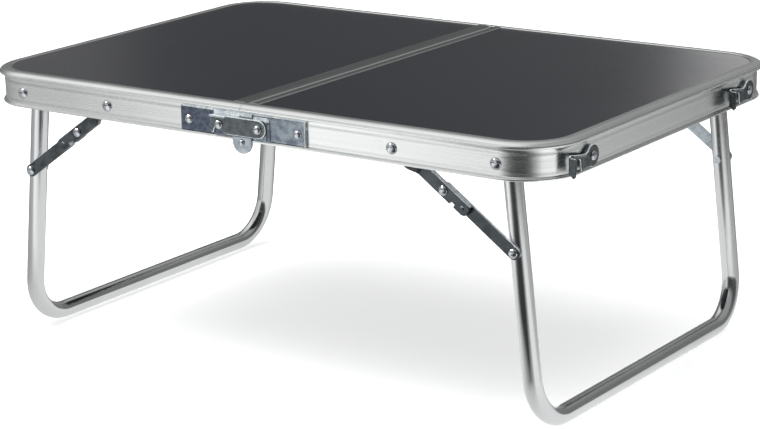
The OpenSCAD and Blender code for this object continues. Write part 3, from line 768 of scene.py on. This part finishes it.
def make_hook(end):
    """Swing hook: rounded bar with a throat for the stud and a turned-out finger lip."""
    node = "swing_hook_" + end
    lo, hi = box_mm(node)
    s = outward(end)
    inner, outer = depth_range(s, lo, hi)
    pivot = pivot_mm(end + "_hook_swing")
    half = hi.x - pivot.x
    low, top = pivot.z - half, pivot.z + half
    stud, throat = centre_mm("hook_studs").x, 2.6
    corners = [(lo.x, low, 1.2), (stud - 6.2, low, 1.2), (stud - 4.9, low + 4, 0)]
    corners += round_corners(stud, pivot.z, throat, 180, 0, 12)
    corners += [(stud + throat, low + 4.6, 0), (stud + 3.8, low + 2, 0), (stud + 7.0, low, 2.5),
                (hi.x, low, half), (hi.x, top, half), (lo.x, top, 2.0)]

    def place(x, z, w):
        return x, s * w, z

    bar = sheet(fillet(corners, 10), inner, inner + LATCH_SHEET, 1.15, place, back_rounding=0.2)
    lip = sheet(fillet([(inner + 0.1, top - LATCH_SHEET, 0.3), (outer, top - LATCH_SHEET, 0.6),
                        (outer, top, 0.6), (inner + 0.1, top, 0.9)]), lo.x + 0.8, stud + 8.5, 0.5,
                lambda w, z, x: (x, s * w, z), back_rounding=0.5)
    verts, faces = join_parts([bar, lip])
    obj = piece(node + "_detailed", verts, faces, LATCH, end + "_hook", [node])
    # the rims and the lip, every face that doesn't face straight out, are lighter: painted highlight
    brighten(obj, lambda c, n: n.y * s < 0.97 and n.y * s > -0.5, PAINTED_HIGHLIGHT)
    level_faces(obj)


def make_catch(end):
    """End catch: stepped plate with a curved throat, a turned-out upper edge and a finger tab."""
    node = "end_catch_" + end
    lo, hi = box_mm(node)
    pivot = pivot_mm(end + "_catch_swing")
    length, reach, throat, boss, foot = pivot.y - lo.y, 26.4, 2.6, 9.0, -8.0
    top, waist_top, waist = 8.4, 3.6, 11.0
    inner, step, bend_start, bend_end = lo.x, 2.1, 15.0, 20.5

    def wall(radius, z):
        """Side of the curved throat, which is a circle about the pivot."""
        return -math.sqrt(radius * radius - z * z)

    corners = [(-length, foot, 1.5), (wall(reach + throat, foot), foot, 1.0),
               (wall(reach + throat, foot / 2), foot / 2, 0)]
    corners += round_corners(-reach, 0, throat, 180, 0, 12)
    corners += [(wall(reach - throat, foot / 2), foot / 2, 0), (wall(reach - throat, foot), foot, 1.0)]
    corners += round_corners(0, 0, boss, -117, 149, 38)
    corners += [(-waist, waist_top, 1.0), (-length, top, 2.0)]

    def place(u, v, w):
        return w, pivot.y + u, pivot.z + v

    def joggle(u):
        return step * smooth_step(-u, bend_start, bend_end)

    cuts = places(-bend_start, -0.5, 12)
    plate = sheet(fillet(corners, 6), inner, inner + LATCH_SHEET, 0.6, place, cuts=cuts, bend=joggle,
                  back_rounding=0.2)
    rise = (top - waist_top) / (length - waist)
    edge_low = waist_top + rise * 2.0
    edge_high = top - rise * 4.0
    flange = sheet(fillet([(-length + 4, edge_high - 1.4, 0.3), (-waist - 2, edge_low - 1.4, 0.3),
                           (-waist - 2, edge_low, 0.5), (-length + 4, edge_high, 0.5)], 4),
                   inner + 0.2, inner + 3.4, 0.4, place, cuts=cuts, bend=joggle, back_rounding=0.1)
    base = inner + step
    tab = sheet(fillet([(base + 0.1, foot + 0.2, 0.4), (base + 0.1, top - 2.2, 0.8),
                        (hi.x, top - 2.2, 1.2), (hi.x, foot - 0.5, 0.6),
                        (hi.x - 2.4, foot - 2.6, 0.6), (base + 1.6, foot, 0.6)], 5),
                -length, -length + LATCH_SHEET, 0.5, lambda w, v, u: (w, pivot.y + u, pivot.z + v),
                back_rounding=0.5)
    verts, faces = join_parts([plate, flange, tab])
    obj = piece(node + "_detailed", verts, faces, LATCH, end + "_catch", [node])
    # upward faces and the side edges are lighter: painted highlight
    brighten(obj, lambda c, n: n.z > 0.3 or (n.x < 0.9 and n.x > 0.05 and c.y > pivot.y - length + 3), PAINTED_HIGHLIGHT)
    level_faces(obj)


def brace_frame(side, end):
    """Rail pivot, middle rivet and foot rivet of one brace in X and Z, mirrored to the right half."""
    sign = SIDES[side]

    def at(node):
        mid = centre_mm(node)
        return Vector((sign * mid.x, mid.z))

    return at("brace_pivots_" + side), at(f"mid_rivet_{side}_{end}"), at("leg_rivets_" + side)


def notch(start, edge):
    """Corners of the square notch in a link's lower edge."""
    return [(start, edge, 0), (start, edge + NOTCH_DEEP, 0),
            (start + NOTCH_WIDE, edge + NOTCH_DEEP, 0), (start + NOTCH_WIDE, edge, 0)]


def make_upper_link(side, end):
    """Channel-shaped link with a pressed offset, an edge notch and a dimple."""
    node = f"upper_link_{side}_{end}"
    lo, hi = box_mm(node)
    s, sign = outward(end), SIDES[side]
    y_in, y_top = depth_range(s, lo, hi)
    rail, joint, _ = brace_frame(side, end)
    along = (joint - rail).normalized()
    across = Vector((-along.y, along.x))
    reach = (joint - rail).length
    r, tail, deep = LINK_W / 2, 27.7, 4.0
    bend_start, bend_end, dimple_at = 18.0, 29.0, 21.6
    corners = [(-r, -r, r), *notch(reach + NOTCH_AT, -r),
               (reach + tail, -r, 4.4), (reach + tail, r, 4.4), (-r, r, r)]

    def place(u, v, w):
        p = rail + along * u + across * v
        return sign * p.x, s * w, p.y

    def joggle(u):
        return -(y_top - y_in - deep) * smooth_step(u, bend_start, bend_end)

    cuts = places(bend_start, 0.8, 15)
    channel = sheet(fillet(corners, 8), y_top - deep, y_top, 0.9, place, wall=1.2, cavity=deep - 1.5,
                    cuts=cuts, bend=joggle)
    outer = y_in + deep
    dimple = lathe([(0, -0.3), (1.9, -0.3), (1.7, 0.15), (1.2, 0.42), (0.6, 0.5), (0, 0.5)],
                   place(reach + dimple_at, 0, outer), (0, s, 0), 24)
    verts, faces = join_parts([channel, dimple])
    obj = piece(node + "_detailed", verts, faces, LINK, f"{side}_{end}_upper_brace", [node])
    # inward faces are lighter: painted reflection; upward faces are lighter: painted highlight
    brighten(obj, lambda c, n: n.y * s < -0.4, LIGHT_ZINC_AND_PAINTED_REFLECTION)
    brighten(obj, lambda c, n: n.z > 0.25 and n.y * s > -0.3, PAINTED_HIGHLIGHT)
    level_faces(obj)


def make_lower_link(side, end):
    """Flat link with round ends."""
    node = f"lower_link_{side}_{end}"
    lo, hi = box_mm(node)
    s, sign = outward(end), SIDES[side]
    y_in, y_out = depth_range(s, lo, hi)
    _, joint, foot = brace_frame(side, end)
    along = (foot - joint).normalized()
    across = Vector((-along.y, along.x))
    reach, r = (foot - joint).length, LINK_W / 2

    def place(u, v, w):
        p = joint + along * u + across * v
        return sign * p.x, s * w, p.y

    corners = [(-r, -r, r), *notch(NOTCH_AT, -r), (reach + r, -r, r), (reach + r, r, r), (-r, r, r)]
    verts, faces = sheet(fillet(corners, 14), y_in, y_out, 0.8, place, back_rounding=0.3)
    obj = piece(node + "_detailed", verts, faces, LINK, f"{side}_{end}_lower_brace", [node])
    # inward faces are lighter: painted reflection; upward faces are lighter: painted highlight
    brighten(obj, lambda c, n: n.y * s < -0.4, LIGHT_ZINC_AND_PAINTED_REFLECTION)
    brighten(obj, lambda c, n: n.z > 0.25 and n.y * s > -0.3, PAINTED_HIGHLIGHT)
    level_faces(obj)


# ---- carried CAD nodes -----------------------------------------------------

def carry(node, mat):
    """Keeps a CAD node's shape and gives it a material."""
    obj = NODES[node]
    obj.data.materials.clear()
    obj.data.materials.append(mat)
    return obj


# ---- stage -----------------------------------------------------------------

def level_square(name, half, height):
    """A level square in metres, centred under the object."""
    mesh = bpy.data.meshes.new(name)
    mesh.from_pydata([(-half, -half, height), (half, -half, height), (half, half, height),
                      (-half, half, height)], [], [(0, 1, 2, 3)])
    obj = bpy.data.objects.new(name, mesh)
    bpy.context.scene.collection.objects.link(obj)
    return obj


def make_floor():
    obj = level_square("floor", 14.0, 0)
    mat, _, shader = material("floor_white", 0.0, (0.93, 0.93, 0.93), 0.9)
    shader.inputs["Specular IOR Level"].default_value = 0.0
    obj.data.materials.append(mat)


def studio_brightness(tree, x, y, levels):
    """Brightness of the studio by direction: 0 degrees is the front, 90 the right."""
    turn = math_node(tree, "ARCTAN2", x, math_node(tree, "MULTIPLY", y, -1))
    place = ramp(tree, turn, -math.pi, math.pi, 0, 1)
    bands = tree.nodes.new("ShaderNodeValToRGB")
    bands.color_ramp.interpolation = "EASE"
    marks = bands.color_ramp.elements
    while len(marks) < len(levels):
        marks.new(0.5)
    for mark, (angle, value) in zip(marks, levels):
        mark.position = (angle + 180) / 360
        mark.color = (value * 0.985, value, value * 0.995, 1)
    tree.links.new(place, bands.inputs["Fac"])
    return bands.outputs["Color"]


def make_reflection_board():
    """A board on the floor that only the shiny metal reflects, with the studio's bright and dark bands."""
    obj = level_square("reflection_board", 6.0, 0.0006)
    mat = bpy.data.materials.new("reflection_board")
    mat.use_nodes = True
    tree = mat.node_tree
    tree.nodes.clear()
    axes = place_axes(tree, "Object")
    glow = tree.nodes.new("ShaderNodeEmission")
    glow.inputs["Strength"].default_value = 1.0
    bands = studio_brightness(tree, axes[0], axes[1], FLOOR_LEVELS)
    square = [math_node(tree, "MULTIPLY", axes[i], axes[i]) for i in (0, 1)]
    reach = math_node(tree, "SQRT", math_node(tree, "ADD", *square), 0)
    far = ramp(tree, reach, 1.5, 2.6, 0.0, 1.0)
    near = ramp(tree, reach, 0.25, 0.50, 0.0, 1.0)
    under = blend_colours(tree, near, (0.95, 0.96, 0.955), bands)
    tree.links.new(blend_colours(tree, far, under, (0.07, 0.07, 0.075)), glow.inputs["Color"])
    surface = tree.nodes.new("ShaderNodeOutputMaterial").inputs["Surface"]
    tree.links.new(glow.outputs[0], surface)
    obj.data.materials.append(mat)
    for kind in ("camera", "diffuse", "shadow", "transmission", "volume_scatter"):
        setattr(obj, "visible_" + kind, False)


def make_fill(power):
    """An even light from above with no shadow and no reflection of its own."""
    lamp = bpy.data.lights.new("fill", "SUN")
    lamp.energy = power
    lamp.angle = math.radians(60)
    lamp.cycles.cast_shadow = False
    lamp.use_shadow = False
    obj = bpy.data.objects.new("fill", lamp)
    bpy.context.scene.collection.objects.link(obj)
    obj.visible_glossy = False


def make_light(name, centre, towards, width, height, power):
    """An area light that shows in no reflection."""
    lamp = bpy.data.lights.new(name, "AREA")
    lamp.shape = "RECTANGLE"
    lamp.size, lamp.size_y = width, height
    lamp.energy = power
    obj = bpy.data.objects.new(name, lamp)
    bpy.context.scene.collection.objects.link(obj)
    obj.location = centre
    obj.rotation_mode = "QUATERNION"
    obj.rotation_quaternion = (Vector(towards) - Vector(centre)).to_track_quat("-Z", "Y")
    obj.visible_glossy = False
    return obj


def make_sheen(name, lit, centre, towards, width, height, power):
    """A light that falls only on the objects in lit, where its mirror image shows."""
    obj = make_light(name, centre, towards, width, height, power)
    obj.visible_glossy = True
    group = bpy.data.collections.new(name + "_lit")
    for other in lit:
        group.objects.link(other)
    obj.light_linking.receiver_collection = group


def make_world():
    """A dome that is bright overhead, with the studio's bands near the horizon."""
    world = bpy.data.worlds.new("studio")
    bpy.context.scene.world = world
    world.use_nodes = True
    tree = world.node_tree
    axes = place_axes(tree, "Generated")
    low = studio_brightness(tree, axes[0], axes[1], WALL_LEVELS)
    high = studio_brightness(tree, axes[0], axes[1], SKY_LEVELS)
    height = ramp(tree, axes[2], 0.42, 0.66, 0.0, 1.0)
    sky = blend_colours(tree, height, low, high)
    tree.links.new(sky, tree.nodes["Background"].inputs["Color"])
    tree.nodes["Background"].inputs["Strength"].default_value = 1.0


def make_camera():
    """The photograph's view, with its small roll."""
    azimuth, elevation, roll = (math.radians(v) for v in (34.772, 15.425, -0.963))
    distance, shift_right, shift_down, target_height = 2.1874, 0.00166, 0.13770, 0.25
    lens = bpy.data.cameras.new("camera")
    lens.sensor_width = 36.0
    lens.lens = 115.03
    obj = bpy.data.objects.new("camera", lens)
    bpy.context.scene.collection.objects.link(obj)
    back = Vector((math.sin(azimuth) * math.cos(elevation), -math.cos(azimuth) * math.cos(elevation),
                   math.sin(elevation)))
    right = (-back).cross(Vector((0, 0, 1))).normalized()
    up = right.cross(-back)
    right_rolled = right * math.cos(roll) + up * math.sin(roll)
    up_rolled = up * math.cos(roll) - right * math.sin(roll)
    turn = Matrix((right_rolled, up_rolled, back)).transposed()
    place = back * distance + right_rolled * shift_right - up_rolled * shift_down
    place += Vector((0, 0, target_height))
    obj.matrix_world = Matrix.Translation(place) @ turn.to_4x4()
    bpy.context.scene.camera = obj


# ---- build -----------------------------------------------------------------

RIM = rim_material()
BOARD = board_material()
STRIP = strip_material()
PLATES = {
    "left": zinc_material("zinc_plate_left", (0.070, 0.083, 0.115), (0.150, 0.172, 0.222), 0.30, 210.0),
    "right": zinc_material("zinc_plate_right", (0.14, 0.16, 0.20), (0.36, 0.41, 0.45), 0.30, 90.0),
}
LINK = zinc_material("link_steel", (0.075, 0.085, 0.092), (0.13, 0.145, 0.155), 0.36)
# a lighter copy of the zinc for upward faces and rounded edges: painted highlight
PAINTED_HIGHLIGHT = zinc_material("painted_highlight_zinc", (0.50, 0.55, 0.59), (0.74, 0.78, 0.80), 0.24, 140.0, 0.55, 0.05)
# a lighter zinc: on the links' inward faces it is a painted reflection; the left plates' ears get it as
# well
LIGHT_ZINC_AND_PAINTED_REFLECTION = zinc_material("light_zinc_and_painted_reflection", (0.34, 0.38, 0.42), (0.58, 0.63, 0.67), 0.34)
LATCH = zinc_material("latch_steel", (0.085, 0.098, 0.103), (0.165, 0.182, 0.186), 0.32, 170.0)
TUBE = tube_material()
RIVET = rivet_material()
SPACER = spacer_material()

heads = []
boards = []
for side in SIDES:
    half = side + "_half"
    make_rim(side, RIM)
    make_leg(side, TUBE)
    carry("centre_rail_" + side, STRIP)
    boards.append(carry("panel_" + side, BOARD))
    carry("leg_spacers_" + side, SPACER)
    heads += [rivet_pair("leg_pivots_" + side, half, RIVET, RAIL_HEAD_R, HEAD_H, shank=31,
                         tail_r=TAIL_R, tail=TAIL_H),
              rivet_pair("brace_pivots_" + side, half, RIVET, RAIL_HEAD_R, HEAD_H, shank=5),
              rivet_pair("plate_rivets_" + side, half, RIVET, HEAD_R, HEAD_H, shank=3.2,
                         tail_r=TAIL_R, tail=TAIL_H),
              carry("leg_rivets_" + side, RIVET)]
    for end in ENDS:
        make_upper_link(side, end)
        make_lower_link(side, end)
        heads += [carry(f"mid_rivet_{side}_{end}", RIVET),
                  carry(f"mid_tail_{side}_{end}", RIVET)]
for end in ENDS:
    make_left_plate(end)
    make_right_plate(end)
    make_hook(end)
for end in ("near", "far"):
    make_catch(end)
heads += [rivet_pair("hook_studs", "left_half", RIVET, STUD_HEAD_R, HEAD_H, shank=7.5),
          rivet_pair("hook_pivots", "right_half", RIVET, HEAD_R, HEAD_H, shank=7.5),
          rivet_pair("fold_rivets", "fold_pins", RIVET, SMALL_HEAD_R, SMALL_HEAD_H, shank=5),
          end_rivets("keeper_studs", "left_half", RIVET, STUD_HEAD_R, HEAD_H, shank=8.0, collar=1.2),
          end_rivets("catch_pivots", "right_half", RIVET, HEAD_R, HEAD_H, shank=6.0, collar=2.6)]

make_floor()
make_world()
make_reflection_board()
make_fill(3.1)
make_light("key", (-1.2, -1.0, 2.6), (0, 0, 0.15), 1.9, 1.3, 35)
make_sheen("sheen_right", boards, (-0.68, 2.90, 0.95), (0.30, 0.10, 0.25), 0.9, 0.5, 3.5)
make_sheen("sheen_left", boards, (-2.40, 1.90, 0.95), (-0.28, -0.15, 0.25), 0.7, 0.5, 0.45)
make_sheen("glint", heads, (-1.55, -1.75, 1.75), (0, 0, 0.22), 0.55, 0.55, 75)
make_camera()

scene = bpy.context.scene
scene.view_settings.view_transform = "Standard"
